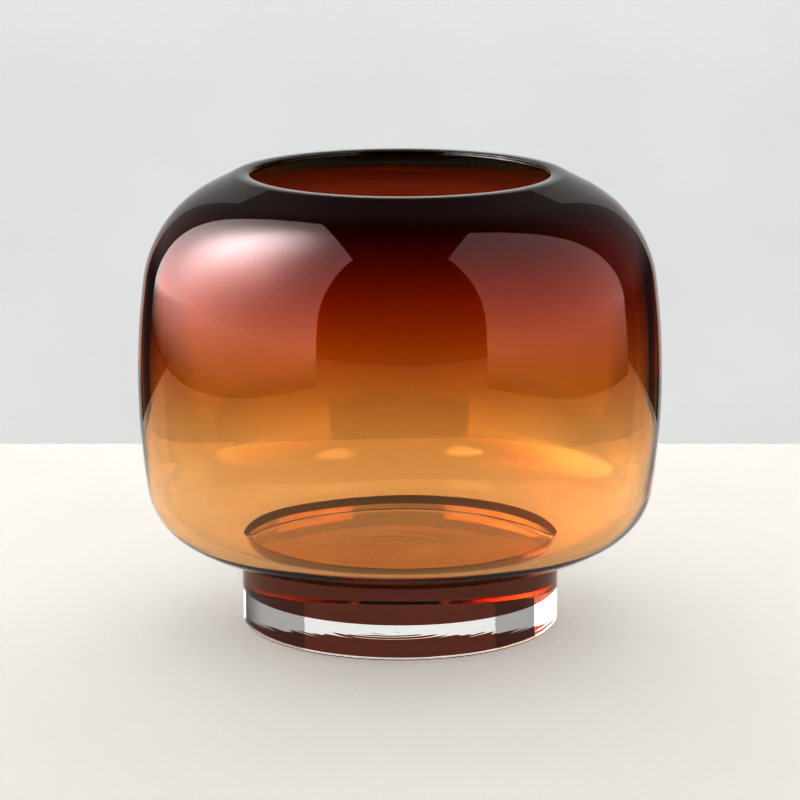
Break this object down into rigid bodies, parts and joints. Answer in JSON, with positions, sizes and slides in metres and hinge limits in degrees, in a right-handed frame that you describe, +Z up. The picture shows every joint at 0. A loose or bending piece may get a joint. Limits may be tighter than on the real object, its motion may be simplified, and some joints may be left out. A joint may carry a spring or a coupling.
{
  "type": "footed bowl vase",
  "caption": "Round wide-mouthed glass vase on a short solid foot, clear-cased and shaded from near black at the shoulder to amber below; holds water and cut flowers",
  "frame": {"origin": "centre of the flat face that the vase stands on, on its axis of symmetry", "axes": "+Z up along the axis of symmetry; every direction round it is alike, and the pictured side faces -Y"},
  "size_m": [0.2, 0.2, 0.174],
  "materials": {
    "clear_glass": "polished clear",
    "shaded_glass": "polished, shaded from near black at the shoulder to amber at the floor",
    "brown_glass": "polished brown"
  },
  "bodies": {
    "root": {"bowl_clear_casing": "clear_glass", "bowl_shaded_layer": "shaded_glass", "foot_shaded_disc": "brown_glass", "foot_clear_base": "clear_glass"}
  },
  "joints": []
}
